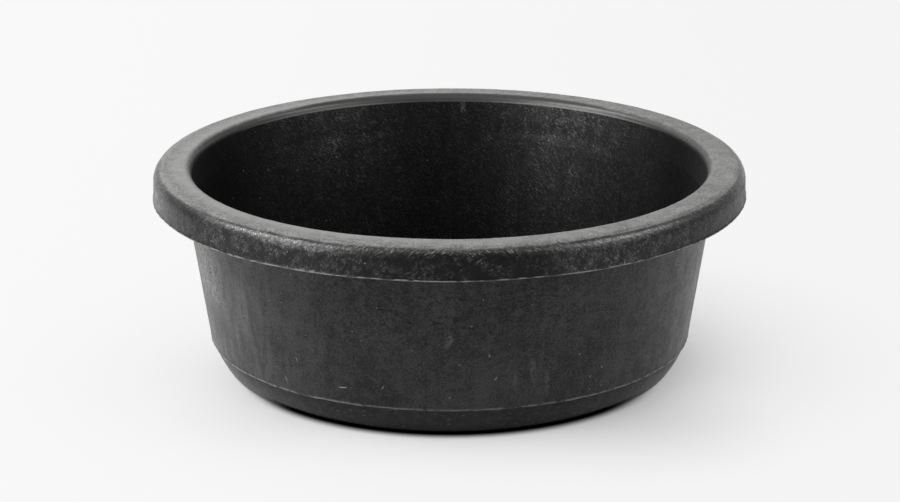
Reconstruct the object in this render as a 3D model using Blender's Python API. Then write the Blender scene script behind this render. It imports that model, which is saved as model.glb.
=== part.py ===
"""Rubber mineral feed bowl, 420 mm across and 146 mm high.

The bowl stands on z = 0 with its axis on Z. It has three round pieces: a base
with a curved lower band, a leaning wall that laps over the base, and a thick
rim that the top of the wall is tongued into. Each piece is turned from its
section, a closed outline of (radius, height) points in metres.
"""
import math

import bmesh
import bpy

# Sizes of the whole bowl
RIM_RADIUS = 0.2100  # widest, at the ridge along the lower edge of the rim
BOWL_HEIGHT = 0.1460
JOINT_GAP = 0.0003  # between pieces that meet

# Fineness of the round shapes
ROUND_STEPS = 96  # round the axis
CURVE_STEPS = 6  # along each large curve of a section
EDGE_STEPS = 2  # along each small rounded edge
SHARP_ANGLE = math.radians(30.0)
MERGE_DISTANCE = 0.000001

# Rim
RIM_DEPTH = 0.0226  # flat top to underside
RIDGE_ROUNDING = 0.0008  # half-round ridge where the mould parted
RIDGE_REACH = 0.0007  # the ridge stands out from the side by this much
RIM_FLARE = 0.0003  # the side leans out by this much on its way down
SHOULDER_ROUNDING = 0.0092
MOUTH_ROUNDING = 0.0054
RIM_LIP_DROP = 0.0013  # the inner lip ends this far below the underside
SEAT_DEPTH = 0.0010  # the wall's outer edge is let into the underside by this much
TONGUE_THICKNESS = 0.0030
TONGUE_HEIGHT = 0.0140  # above the rim's underside

# Wall
RIM_OVERHANG = 0.0232  # from the wall's outer face out to the rim's edge
WALL_LEAN = math.radians(8.78)  # from upright, outwards
WALL_THICKNESS = 0.0075  # measured level
WALL_EDGE_ROUNDING = 0.0014

# Lap of the wall over the base
SEAM_HEIGHT = 0.0208  # lower edge of the wall, outside
LAP_HEIGHT = 0.0100  # the inside seam lies this much higher
SEAM_STEP = 0.0010  # the base is set in from the wall by this much

# Base
FLOOR_THICKNESS = 0.0090
BAND_LEAN = math.radians(19.1)  # of the base's side where it meets the wall
BAND_CURVE = 0.0710  # radius of the curve from the seam down to the foot
FOOT_ROUNDING = 0.0012
FOOT_WIDTH = 0.0180  # flat ring that the bowl stands on
UNDERSIDE_RECESS = 0.0020  # depth of the hollow inside that ring

# Heights and insets that follow from the sizes above
RIM_UNDERSIDE = BOWL_HEIGHT - RIM_DEPTH
RIM_LIP_END = RIM_UNDERSIDE - RIM_LIP_DROP
SEAT_TOP = RIM_UNDERSIDE + SEAT_DEPTH
WALL_RADIUS_UNDER_RIM = RIM_RADIUS - RIM_OVERHANG
TONGUE_INSET = (WALL_THICKNESS - TONGUE_THICKNESS) / 2
TONGUE_TOP = RIM_UNDERSIDE + TONGUE_HEIGHT
INNER_SEAM_HEIGHT = SEAM_HEIGHT + LAP_HEIGHT
LAP_INSET = WALL_THICKNESS / 2


def wall_outside(height):
    """Radius of the wall's outer face, carried on above and below the wall."""
    return WALL_RADIUS_UNDER_RIM + (height - RIM_UNDERSIDE) * math.tan(WALL_LEAN)


def wall_inside(height):
    """Radius of the wall's inner face, which the rim and the base carry on."""
    return wall_outside(height) - WALL_THICKNESS


def arc(centre, radius, start, end, steps):
    """Points on an arc of the section, from one angle to another in radians."""
    points = []
    for step in range(steps + 1):
        angle = start + (end - start) * step / steps
        points.append(
            (centre[0] + radius * math.cos(angle), centre[1] + radius * math.sin(angle))
        )
    return points


def rim_section():
    """Thick rim with a seat and slot for the wall's top and a lip inside the bowl."""
    mouth_level = BOWL_HEIGHT - MOUTH_ROUNDING
    mouth_centre = (
        wall_inside(mouth_level) + MOUTH_ROUNDING / math.cos(WALL_LEAN),
        mouth_level,
    )
    ridge_centre = (RIM_RADIUS - RIDGE_ROUNDING, RIM_UNDERSIDE + RIDGE_ROUNDING)
    side_foot_radius = RIM_RADIUS - RIDGE_REACH
    side_foot_level = RIM_UNDERSIDE + 2 * RIDGE_ROUNDING
    side_top_radius = side_foot_radius - RIM_FLARE
    shoulder_centre = (side_top_radius - SHOULDER_ROUNDING, BOWL_HEIGHT - SHOULDER_ROUNDING)
    slot_inset = TONGUE_INSET - JOINT_GAP
    slot_top = TONGUE_TOP + JOINT_GAP

    points = arc(mouth_centre, MOUTH_ROUNDING, math.pi / 2, math.pi - WALL_LEAN, CURVE_STEPS)
    points.append((wall_inside(RIM_LIP_END), RIM_LIP_END))
    points.append((wall_inside(RIM_LIP_END) + slot_inset, RIM_LIP_END))
    points.append((wall_inside(slot_top) + slot_inset, slot_top))
    points.append((wall_outside(slot_top) - slot_inset, slot_top))
    points.append((wall_outside(SEAT_TOP) - slot_inset, SEAT_TOP))
    points.append((wall_outside(SEAT_TOP) + JOINT_GAP, SEAT_TOP))
    points.append((wall_outside(RIM_UNDERSIDE) + JOINT_GAP, RIM_UNDERSIDE))
    points += arc(ridge_centre, RIDGE_ROUNDING, -math.pi / 2, math.pi / 4, 3 * EDGE_STEPS)
    points.append((side_foot_radius, side_foot_level))
    points += arc(shoulder_centre, SHOULDER_ROUNDING, 0.0, math.pi / 2, CURVE_STEPS)
    return points


def wall_section():
    """Leaning wall, tongued into the rim above and lapped over the base below."""
    outer_shoulder = SEAT_TOP - JOINT_GAP
    inner_shoulder = RIM_LIP_END - JOINT_GAP
    edge_level = SEAM_HEIGHT + WALL_EDGE_ROUNDING
    edge_centre = (wall_outside(edge_level) - WALL_EDGE_ROUNDING, edge_level)

    points = [
        (wall_inside(TONGUE_TOP) + TONGUE_INSET, TONGUE_TOP),
        (wall_outside(TONGUE_TOP) - TONGUE_INSET, TONGUE_TOP),
        (wall_outside(outer_shoulder) - TONGUE_INSET, outer_shoulder),
        (wall_outside(outer_shoulder), outer_shoulder),
    ]
    points += arc(edge_centre, WALL_EDGE_ROUNDING, 0.0, -math.pi / 2, EDGE_STEPS)
    points.append((wall_outside(SEAM_HEIGHT) - LAP_INSET, SEAM_HEIGHT))
    points.append((wall_outside(INNER_SEAM_HEIGHT) - LAP_INSET, INNER_SEAM_HEIGHT))
    points.append((wall_inside(INNER_SEAM_HEIGHT), INNER_SEAM_HEIGHT))
    points.append((wall_inside(inner_shoulder), inner_shoulder))
    points.append((wall_inside(inner_shoulder) + TONGUE_INSET, inner_shoulder))
    return points


def base_section():
    """Floor and curved band, with an upstand inside the wall's lap."""
    step_level = SEAM_HEIGHT - JOINT_GAP
    upstand_top = INNER_SEAM_HEIGHT - JOINT_GAP
    upstand_inset = LAP_INSET + JOINT_GAP

    band_top_radius = wall_outside(SEAM_HEIGHT) - SEAM_STEP
    band_centre = (
        band_top_radius - BAND_CURVE * math.cos(BAND_LEAN),
        step_level + BAND_CURVE * math.sin(BAND_LEAN),
    )
    # The foot's rounding touches both the band's curve and the floor line.
    foot_drop = band_centre[1] - FOOT_ROUNDING
    foot_reach = math.sqrt((BAND_CURVE - FOOT_ROUNDING) ** 2 - foot_drop ** 2)
    foot_centre = (band_centre[0] + foot_reach, FOOT_ROUNDING)
    foot_angle = -math.atan2(foot_drop, foot_reach)
    foot_inside = foot_centre[0] - FOOT_WIDTH

    # The fillet runs from the floor up to the inside seam, in line with the wall.
    fillet_radius = (upstand_top - FLOOR_THICKNESS) / (1 - math.sin(WALL_LEAN))
    fillet_centre = (
        wall_inside(upstand_top) - fillet_radius * math.cos(WALL_LEAN),
        FLOOR_THICKNESS + fillet_radius,
    )

    points = [
        (0.0, UNDERSIDE_RECESS),
        (foot_inside - UNDERSIDE_RECESS, UNDERSIDE_RECESS),
        (foot_inside, 0.0),
    ]
    points += arc(foot_centre, FOOT_ROUNDING, -math.pi / 2, foot_angle, EDGE_STEPS)
    points += arc(band_centre, BAND_CURVE, foot_angle, -BAND_LEAN, CURVE_STEPS)[1:]
    points.append((wall_outside(step_level) - upstand_inset, step_level))
    points.append((wall_outside(upstand_top) - upstand_inset, upstand_top))
    points += arc(fillet_centre, fillet_radius, -WALL_LEAN, -math.pi / 2, CURVE_STEPS)
    points.append((0.0, FLOOR_THICKNESS))
    return points


def rubber(name, shade, roughness):
    """Dull black rubber."""
    material = bpy.data.materials.new(name)
    material.use_nodes = True
    shader = material.node_tree.nodes["Principled BSDF"]
    shader.inputs["Base Color"].default_value = (*shade, 1.0)
    shader.inputs["Roughness"].default_value = roughness
    shader.inputs["Metallic"].default_value = 0.0
    return material


def turn(name, section, material):
    """Turn a closed section about Z into a solid and add it to the scene."""
    shape = bmesh.new()
    corners = [shape.verts.new((radius, 0.0, height)) for radius, height in section]
    outline = [
        shape.edges.new((corner, corners[(index + 1) % len(corners)]))
        for index, corner in enumerate(corners)
    ]
    bmesh.ops.spin(
        shape,
        geom=corners + outline,
        cent=(0.0, 0.0, 0.0),
        axis=(0.0, 0.0, 1.0),
        angle=2 * math.pi,
        steps=ROUND_STEPS,
        use_merge=True,
    )
    # Points on the axis come together, and what closed up between them goes.
    bmesh.ops.remove_doubles(shape, verts=shape.verts[:], dist=MERGE_DISTANCE)
    bmesh.ops.dissolve_degenerate(shape, edges=shape.edges[:], dist=MERGE_DISTANCE)
    bmesh.ops.recalc_face_normals(shape, faces=shape.faces[:])

    mesh = bpy.data.meshes.new(name)
    shape.to_mesh(mesh)
    shape.free()
    mesh.shade_smooth()
    mesh.set_sharp_from_angle(angle=SHARP_ANGLE)
    mesh.materials.append(material)
    piece = bpy.data.objects.new(name, mesh)
    bpy.context.collection.objects.link(piece)
    return piece


for old in list(bpy.data.objects):
    bpy.data.objects.remove(old, do_unlink=True)

turn("bowl_base", base_section(), rubber("base_rubber", (0.022, 0.023, 0.022), 0.62))
turn("bowl_wall", wall_section(), rubber("wall_rubber", (0.024, 0.025, 0.024), 0.58))
turn("bowl_rim", rim_section(), rubber("rim_rubber", (0.060, 0.060, 0.058), 0.70))
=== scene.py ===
"""Rubber mineral feed bowl, dressed as worn, moulded black rubber.

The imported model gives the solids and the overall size. Each of its three
pieces is replaced by a finer turned mesh with the same section, with the small
unevenness of the moulding and the ragged line where the mould parted.
"""

import math

import bpy
import numpy as np
from mathutils import Matrix, Vector, noise


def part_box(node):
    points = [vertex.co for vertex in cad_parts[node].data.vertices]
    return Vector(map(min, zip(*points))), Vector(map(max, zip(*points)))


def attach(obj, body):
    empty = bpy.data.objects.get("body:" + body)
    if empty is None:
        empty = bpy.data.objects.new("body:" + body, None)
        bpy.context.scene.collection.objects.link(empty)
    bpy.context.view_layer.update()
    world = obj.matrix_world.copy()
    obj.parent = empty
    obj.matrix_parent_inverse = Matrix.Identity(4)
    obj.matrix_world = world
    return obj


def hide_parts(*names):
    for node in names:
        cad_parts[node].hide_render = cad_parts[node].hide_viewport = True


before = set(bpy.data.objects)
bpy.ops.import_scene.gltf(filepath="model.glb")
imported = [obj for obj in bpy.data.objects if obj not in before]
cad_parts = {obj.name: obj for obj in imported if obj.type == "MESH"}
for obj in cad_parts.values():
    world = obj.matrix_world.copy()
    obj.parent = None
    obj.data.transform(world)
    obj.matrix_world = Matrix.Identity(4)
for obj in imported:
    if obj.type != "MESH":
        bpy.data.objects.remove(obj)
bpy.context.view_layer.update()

# Base of the bowl: the floor, the rounded inside corner and the curved band
# below the seam. It is part of one moulding of black rubber filled with short
# fibres, pressed in a two-part mould, and it stands on a flat ring.

BASE_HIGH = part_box("bowl_base")[1]
WALL_LOW, WALL_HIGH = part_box("bowl_wall")

JOINT_GAP = 0.0003  # between pieces, where it doesn't show
TIGHT_GAP = 0.00004  # the same inside the bowl, where the rubber shows no joint
WALL_LEAN = math.radians(8.78)
WALL_THICKNESS = 0.0075
SEAM_HEIGHT = WALL_LOW.z
INNER_SEAM_HEIGHT = BASE_HIGH.z + JOINT_GAP
LAP_INSET = WALL_THICKNESS / 2
WALL_SHOULDER = 0.1241  # the wall is widest here, where it is let into the rim
FLOOR_TOP = 0.0090
BASE_STEPS = 720
FLOOR_STEPS = ((0.118, 360), (0.066, 180), (0.030, 90), (0.012, 45))  # within a radius
BAND_LEAN = math.radians(19.1)
BAND_CURVE = 0.0710
SEAM_STEP = 0.0010
FOOT_ROUNDING = 0.0010
FOOT_HEIGHT = 0.0018  # the band ends this far above the ground
FOOT_SET_IN = 0.0030
FOOT_WIDTH = 0.0180
FOOT_LIFT = 0.0012  # the unevenness fades out from about this height down to the foot
FOOT_LEVEL_SHARE = 0.2  # there is none in the lowest part of that height
UNDERSIDE_RECESS = 0.0020
HIDDEN_DEPTH = 0.0008  # faces deeper than this in the rubber stay as drawn
SHARP_ANGLE = math.radians(50.0)
LUMPS = ((0.045, 0.00016), (0.012, 0.00008), (0.0042, 0.00006))  # size and height
LUMPS_SUNK = 0.00015
SHORTEST_STEP = 1e-12  # keeps the way along a section from a division by zero

# Distance between the points of the base's section, along each stretch of it
UNDERSIDE_SPACING = 0.0060
RECESS_SPACING = 0.0010
FOOT_SPACING = 0.0030
FOOT_SIDE_SPACING = 0.0009
FOOT_LEDGE_SPACING = 0.0015
FOOT_ROUNDING_SPACING = 0.0005
BAND_SPACING = 0.0010
STEP_SPACING = 0.0030
UPSTAND_SPACING = 0.0050
UPSTAND_TOP_SPACING = 0.0020
FILLET_SPACING = 0.0016
FLOOR_SPACING = 0.0032


def wall_outside(height):
    """Radius of the wall's outer face at a height."""
    return WALL_HIGH.x + (height - WALL_SHOULDER) * math.tan(WALL_LEAN)


def wall_inside(height):
    """Radius of the wall's inner face at a height."""
    return wall_outside(height) - WALL_THICKNESS


def straight(start, end, spacing):
    """Points of a section on a straight line, without the last one."""
    steps = max(1, round(math.dist(start, end) / spacing))
    across, up = end[0] - start[0], end[1] - start[1]
    return [(start[0] + across * step / steps, start[1] + up * step / steps) for step in range(steps)]


def bend(centre, radius, start, end, spacing):
    """Points of a section on an arc from one angle to another, both ends included."""
    steps = max(2, round(abs(end - start) * radius / spacing))
    angles = [start + (end - start) * step / steps for step in range(steps + 1)]
    return [
        (centre[0] + radius * math.cos(angle), centre[1] + radius * math.sin(angle)) for angle in angles
    ]


def lumps(place):
    """How far the moulding's face stands out at a place, a little below the drawn size."""
    return sum(height * noise.noise(place / size) for size, height in LUMPS) - LUMPS_SUNK


def turned(name, section, steps, closed, relief):
    """A mesh turned about Z, with each of its points moved by relief.

    section holds (radius, height) points, with the rubber on the left on the way
    along it, and steps the number of points round the axis on each ring (1 on
    the axis). relief takes a place, the section's point there and the way out of
    the rubber, and gives how far the point moves out from the axis and up.
    """
    outline = np.array(section, float)
    after = np.roll(outline, -1, axis=0)
    before = np.roll(outline, 1, axis=0)
    if not closed:
        after[-1], before[0] = outline[-1], outline[0]
    along = after - before
    along /= np.maximum(np.linalg.norm(along, axis=1, keepdims=True), SHORTEST_STEP)
    outward = np.stack([along[:, 1], -along[:, 0]], axis=1)

    places = []
    starts = []
    for ring, (radius, height) in enumerate(section):
        starts.append(len(places))
        for step in range(steps[ring]):
            angle = 2 * math.pi * step / steps[ring]
            ahead, aside = math.cos(angle), math.sin(angle)
            place = Vector((radius * ahead, radius * aside, height))
            sideways, lift = relief(place, section[ring], outward[ring])
            places.append((place.x + ahead * sideways, place.y + aside * sideways, height + lift))

    faces = []
    rings = range(len(section) if closed else len(section) - 1)
    for ring in rings:
        other = (ring + 1) % len(section)
        first, second = steps[ring], steps[other]
        low, high = starts[ring], starts[other]
        if first == second:
            for step in range(first):
                turn = (step + 1) % first
                faces.append((low + step, low + turn, high + turn, high + step))
        elif first == 1:
            for step in range(second):
                faces.append((low, high + (step + 1) % second, high + step))
        elif second == 1:
            for step in range(first):
                faces.append((low + step, low + (step + 1) % first, high))
        elif second == 2 * first:
            for step in range(first):
                turn = (step + 1) % first
                near, middle, far = high + 2 * step, high + 2 * step + 1, high + (2 * step + 2) % second
                faces.append((low + step, middle, near))
                faces.append((low + step, low + turn, middle))
                faces.append((low + turn, far, middle))
        else:
            for step in range(second):
                turn = (step + 1) % second
                near, middle, far = low + 2 * step, low + 2 * step + 1, low + (2 * step + 2) % first
                faces.append((near, middle, high + step))
                faces.append((middle, high + turn, high + step))
                faces.append((middle, far, high + turn))

    mesh = bpy.data.meshes.new(name)
    mesh.from_pydata(places, [], faces)
    mesh.shade_smooth()
    mesh.set_sharp_from_angle(angle=SHARP_ANGLE)
    piece = bpy.data.objects.new(name, mesh)
    bpy.context.scene.collection.objects.link(piece)
    return piece


def base_section():
    """Section of the base from the middle of the underside round to the floor's middle."""
    step_level = SEAM_HEIGHT - JOINT_GAP
    upstand_top = INNER_SEAM_HEIGHT - TIGHT_GAP
    upstand_inset = LAP_INSET + JOINT_GAP
    band_top = wall_outside(SEAM_HEIGHT) - SEAM_STEP
    band_centre = (
        band_top - BAND_CURVE * math.cos(BAND_LEAN),
        step_level + BAND_CURVE * math.sin(BAND_LEAN),
    )
    foot_drop = band_centre[1] - FOOT_HEIGHT - FOOT_ROUNDING
    foot_reach = math.sqrt((BAND_CURVE - FOOT_ROUNDING) ** 2 - foot_drop ** 2)
    foot_centre = (band_centre[0] + foot_reach, FOOT_HEIGHT + FOOT_ROUNDING)
    foot_angle = -math.atan2(foot_drop, foot_reach)
    foot_edge = foot_centre[0] - FOOT_SET_IN
    foot_inside = foot_edge - FOOT_WIDTH
    fillet = (upstand_top - FLOOR_TOP) / (1 - math.sin(WALL_LEAN))
    fillet_centre = (wall_inside(upstand_top) - fillet * math.cos(WALL_LEAN), FLOOR_TOP + fillet)
    step_edge = (wall_outside(step_level) - upstand_inset, step_level)
    upstand_edge = (wall_outside(upstand_top) - upstand_inset, upstand_top)
    top_inside = wall_inside(upstand_top)
    recess_edge = (foot_inside - UNDERSIDE_RECESS, UNDERSIDE_RECESS)

    points = straight((0.0, UNDERSIDE_RECESS), recess_edge, UNDERSIDE_SPACING)
    points += straight(recess_edge, (foot_inside, 0.0), RECESS_SPACING)
    points += straight((foot_inside, 0.0), (foot_edge, 0.0), FOOT_SPACING)
    points += straight((foot_edge, 0.0), (foot_edge, FOOT_HEIGHT), FOOT_SIDE_SPACING)
    points += straight((foot_edge, FOOT_HEIGHT), (foot_centre[0], FOOT_HEIGHT), FOOT_LEDGE_SPACING)
    points += bend(foot_centre, FOOT_ROUNDING, -math.pi / 2, foot_angle, FOOT_ROUNDING_SPACING)
    points += bend(band_centre, BAND_CURVE, foot_angle, -BAND_LEAN, BAND_SPACING)[1:-1]
    points += straight((band_top, step_level), step_edge, STEP_SPACING)
    points += straight(step_edge, upstand_edge, UPSTAND_SPACING)
    points += straight(upstand_edge, (top_inside, upstand_top), UPSTAND_TOP_SPACING)
    points += bend(fillet_centre, fillet, -WALL_LEAN, -math.pi / 2, FILLET_SPACING)[:-1]
    points += straight((fillet_centre[0], FLOOR_TOP), (0.0, FLOOR_TOP), FLOOR_SPACING)
    points.append((0.0, FLOOR_TOP))
    return points


def base_steps(section):
    """Points round each ring: fewer towards the middle, so that no face gets thin."""
    steps = []
    for radius, _height in section:
        count = BASE_STEPS
        for limit, few in FLOOR_STEPS:
            if radius < limit:
                count = few
        steps.append(1 if radius == 0.0 else count)
    return steps


def base_relief(place, point, outward):
    """Unevenness of the base, with none on the flat that it stands on."""
    radius, height = point
    if height > SEAM_HEIGHT - HIDDEN_DEPTH and radius > wall_inside(height) + HIDDEN_DEPTH:
        return 0.0, 0.0
    push = lumps(place) * min(1.0, max(0.0, height / FOOT_LIFT - FOOT_LEVEL_SHARE))
    if INNER_SEAM_HEIGHT - height < HIDDEN_DEPTH:
        return -push, 0.0
    return push * outward[0], push * outward[1]


base_outline = base_section()
base = turned("moulded_base", base_outline, base_steps(base_outline), False, base_relief)


class Field:
    """One output socket of a material's nodes, with arithmetic that adds Math nodes."""

    def __init__(self, tree, socket=None):
        self.tree = tree
        self.socket = socket

    def make(self, kind, settings, values, output=0):
        """Add a node: its settings first, then the values or fields of its sockets."""
        node = self.tree.nodes.new(kind)
        for setting, choice in settings.items():
            setattr(node, setting, choice)
        for name, value in values.items():
            if isinstance(value, Field):
                self.tree.links.new(value.socket, node.inputs[name])
            else:
                node.inputs[name].default_value = value
        return Field(self.tree, node.outputs[output]) if node.outputs else None

    def maths(self, operation, first, second=0.0):
        """Math node on one or two values."""
        return self.make("ShaderNodeMath", {"operation": operation}, {0: first, 1: second})

    def __add__(self, other):
        return self.maths("ADD", self, other)

    def __radd__(self, other):
        return self.maths("ADD", other, self)

    def __sub__(self, other):
        return self.maths("SUBTRACT", self, other)

    def __rsub__(self, other):
        return self.maths("SUBTRACT", other, self)

    def __mul__(self, other):
        return self.maths("MULTIPLY", self, other)

    def __rmul__(self, other):
        return self.maths("MULTIPLY", other, self)

    def __abs__(self):
        return self.maths("ABSOLUTE", self)


def new_material(name):
    """An empty material and its place on the bowl in metres."""
    material = bpy.data.materials.new(name)
    material.use_nodes = True
    material.node_tree.nodes.clear()
    place = Field(material.node_tree).make("ShaderNodeTexCoord", {}, {}, "Object")
    return material, place


def ramp(field, low, high, bottom=0.0, top=1.0):
    """Smooth change from bottom to top as a field goes from low to high."""
    return field.make(
        "ShaderNodeMapRange",
        {"interpolation_type": "SMOOTHSTEP"},
        {"Value": field, "From Min": low, "From Max": high, "To Min": bottom, "To Max": top},
    )


def cloud(place, size, detail=2.0, roughness=0.5):
    """Soft patches of a size in metres, about 0.5 on average."""
    return place.make(
        "ShaderNodeTexNoise",
        {},
        {"Vector": place, "Scale": 1 / size, "Detail": detail, "Roughness": roughness},
    )


def blend(first, second, share):
    """Colour between two colours, by a field."""
    return share.make(
        "ShaderNodeMix", {"data_type": "RGBA", "clamp_factor": True}, {0: share, 6: first, 7: second}, 2
    )


def vector_maths(field, operation, first, second):
    """Vector Math node on two vectors."""
    return field.make("ShaderNodeVectorMath", {"operation": operation}, {0: first, 1: second})


def parts(vector, axis):
    """One part of a vector, named X, Y or Z."""
    return vector.make("ShaderNodeSeparateXYZ", {}, {"Vector": vector}, axis)


def facing(place):
    """Direction from the bowl's axis to a place, level and of length 1."""
    flat = vector_maths(place, "MULTIPLY", place, (1.0, 1.0, 0.0))
    return flat.make("ShaderNodeVectorMath", {"operation": "NORMALIZE"}, {0: flat})


def out_from_axis(place):
    """Distance from the bowl's axis to a place."""
    flat = vector_maths(place, "MULTIPLY", place, (1.0, 1.0, 0.0))
    return flat.make("ShaderNodeVectorMath", {"operation": "LENGTH"}, {0: flat}, "Value")


def across_face(place):
    """Distance along the section, across the top and down a side, the same on all pieces."""
    return out_from_axis(place) - parts(place, "Z")


def around(place, width, length, slant=0.0, level=0.0):
    """Place measured round the bowl in widths and across its face in lengths.

    The measure has no seam, because it keeps the two parts of the direction from
    the axis. slant turns it as it goes across the face, so that streaks lean.
    """
    across = across_face(place)
    out = facing(place)
    angle = across * (math.tan(slant) / WALL_HIGH.x)
    leaning = out.make(
        "ShaderNodeVectorRotate", {"rotation_type": "Z_AXIS"}, {"Vector": out, "Angle": angle}
    )
    wide = leaning.make(
        "ShaderNodeVectorMath", {"operation": "SCALE"}, {0: leaning, "Scale": WALL_HIGH.x / width}
    )
    lift = wide.make("ShaderNodeCombineXYZ", {}, {"Z": across * (1 / length) + level})
    return vector_maths(wide, "ADD", wide, lift)


def strokes(place, width, length, slant, level, kept):
    """Short thin strokes across the face, a share of them kept, each as strong as chance has it."""
    cells = around(place, width, length, slant, level)
    near = cells.make("ShaderNodeTexVoronoi", {}, {"Vector": cells, "Scale": 1.0}, "Distance")
    tint = cells.make("ShaderNodeTexVoronoi", {}, {"Vector": cells, "Scale": 1.0}, "Color")
    return ramp(near, 0.42, 0.16) * ramp(parts(tint, "X"), 1 - kept, 1 - kept * 0.4)


def flecks(place, spacing, size, kept):
    """Tiny round specks: how many is set by their spacing and the share kept."""
    near = place.make("ShaderNodeTexVoronoi", {}, {"Vector": place, "Scale": 1 / spacing}, "Distance")
    tint = place.make("ShaderNodeTexVoronoi", {}, {"Vector": place, "Scale": 1 / spacing}, "Color")
    round_speck = ramp(near, size / spacing, size * 0.4 / spacing)
    return round_speck * ramp(parts(tint, "X"), 1 - kept, 1 - kept * 0.5)


def fine_grain(place):
    """Grain of the rubber's skin at about a millimetre."""
    return cloud(place, 0.0015, 2.0, 0.75)


def wrinkles(place):
    """Short thin creases that wander along the rubber's skin, 1 where deepest."""
    wander = cloud(around(place, 0.0036, 0.0016, 0.35), 1.0, 1.0)
    breaks = ramp(cloud(around(place, 0.0046, 0.0030, -0.4, 5.0), 1.0, 0.0), 0.50, 0.58)
    return ramp(abs(wander - 0.5), 0.070, 0.015) * breaks


PEBBLES_PER_METRE = 520.0


def leather(place, fibre, crease):
    """Height in millimetres of the leathery grain, with fibres that lie along the face."""
    pebbles = place.make(
        "ShaderNodeTexVoronoi",
        {"feature": "SMOOTH_F1"},
        {"Vector": place, "Scale": PEBBLES_PER_METRE},
        "Distance",
    )
    fibres = cloud(around(place, 0.0020, 0.0070, 0.2), 1.0, 2.0)
    return pebbles * 0.06 + fine_grain(place) * 0.14 + fibres * fibre - wrinkles(place) * crease


def mottle(place):
    """Lightness of the rubber from about 0 to 1: patches, blotches, grain and faint streaks."""
    return (
        cloud(place, 0.045, 2.0) * 0.22
        + cloud(place, 0.0085, 2.0) * 0.18
        + fine_grain(place) * 0.48
        + cloud(around(place, 0.0060, 0.0260), 1.0, 2.0) * 0.12
    )


def finish(piece, material, colour, roughness, burnish, sheen, height, unlit=None):
    """Close a rubber material with its shader and give it to a piece.

    Where unlit is 1 the rubber is black, as in a place that no light reaches.
    """
    bump = height.make("ShaderNodeBump", {}, {"Strength": 1.0, "Distance": 0.001, "Height": height})
    shader = colour.make(
        "ShaderNodeBsdfPrincipled",
        {},
        {
            "Base Color": colour,
            "Roughness": roughness,
            "Metallic": 0.0,
            "Specular IOR Level": 0.13,
            "Coat Weight": burnish,
            "Coat Roughness": 0.32,
            "Sheen Weight": sheen,
            "Sheen Roughness": 0.40,
            "Normal": bump,
        },
    )
    if unlit is not None:
        black = shader.make("ShaderNodeBsdfDiffuse", {}, {"Color": (0.0, 0.0, 0.0, 1.0)})
        shader = shader.make("ShaderNodeMixShader", {}, {0: unlit, 1: shader, 2: black})
    shader.make("ShaderNodeOutputMaterial", {}, {"Surface": shader})
    piece.data.materials.append(material)


RUBBER_BLACK = (0.0024, 0.0027, 0.0025, 1.0)
RUBBER_DULL = (0.0110, 0.0118, 0.0112, 1.0)
FIBRE_GREY = (0.120, 0.122, 0.118, 1.0)
FLECK_WHITE = (0.42, 0.42, 0.40, 1.0)
CONTACT_SHADOW_FORWARD = 0.0100  # the painted contact shadow at the ground lies this much towards the front

base_rubber, base_place = new_material("base_rubber")
base_level = parts(base_place, "Z")
base_front = parts(facing(base_place), "Y") * -1.0
# Painted shade: the band's lowest few millimetres at the front are mixed towards black, as a contact
# shadow.
base_foot_painted_shade = ramp(base_level + base_front * CONTACT_SHADOW_FORWARD, 0.0140, 0.0118)
base_foot_painted_shade = base_foot_painted_shade * ramp(base_front, 0.58, 0.76)
base_shade = blend(RUBBER_BLACK, RUBBER_DULL, ramp(mottle(base_place), 0.40, 0.60))
base_shade = blend(base_shade, FIBRE_GREY, strokes(base_place, 0.0050, 0.0008, 0.1, 0.0, 0.25) * 0.30)
base_shade = blend(base_shade, FLECK_WHITE, flecks(base_place, 0.0075, 0.0006, 0.5) * 0.45)
finish(
    base,
    base_rubber,
    base_shade,
    ramp(cloud(base_place, 0.012), 0.3, 0.7, 0.46, 0.54),
    ramp(cloud(base_place, 0.0050), 0.4, 0.7, 0.0, 0.12),
    0.20,
    leather(base_place, 0.02, 0.02),
    base_foot_painted_shade,
)
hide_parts("bowl_base")
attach(base, "root")

# Wall: the leaning side of the bowl, moulded with the rest. Its lower edge
# laps over the base and stands a little proud of it, and its top is tongued
# into the rim. The mould left a fine leathery grain, and use left scuffs.

RIM_LOW, RIM_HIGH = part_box("bowl_rim")

WALL_STEPS = 800
WALL_EDGE_ROUNDING = 0.0008
TONGUE_THICKNESS = 0.0030
TONGUE_INSET = (WALL_THICKNESS - TONGUE_THICKNESS) / 2
TONGUE_TOP = WALL_HIGH.z
INNER_SHOULDER = RIM_LOW.z - TIGHT_GAP
HOLLOW_LEVEL = 0.1195  # a soft hollow runs round inside, below the thick rim
HOLLOW_HALF_WIDTH = 0.0050
HOLLOW_DEPTH = 0.00020
FLASH_REACH = 0.00025  # of the thin flash at the wall's lower edge, on average
FLASH_RAGGED = 0.00030
FLASH_LENGTH = 0.0060  # of its bays and tongues, along the edge
FLASH_RISE = 0.0002  # above the rounding of the edge
OUTER_SKIN = 0.0016  # faces at least this deep under the outer one stay as drawn
FLASH_SKIN = 0.0010

# Distance between the points of the wall's section, along each stretch of it
LIP_SPACING = 0.0020
LIP_ROUNDING_SPACING = 0.0003
OUTER_SPACING = 0.0017
TONGUE_SPACING = 0.0060
TONGUE_END_SPACING = 0.0030
INNER_SPACING = 0.0020
LAP_END_SPACING = 0.0040
LAP_SPACING = 0.0050


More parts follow.
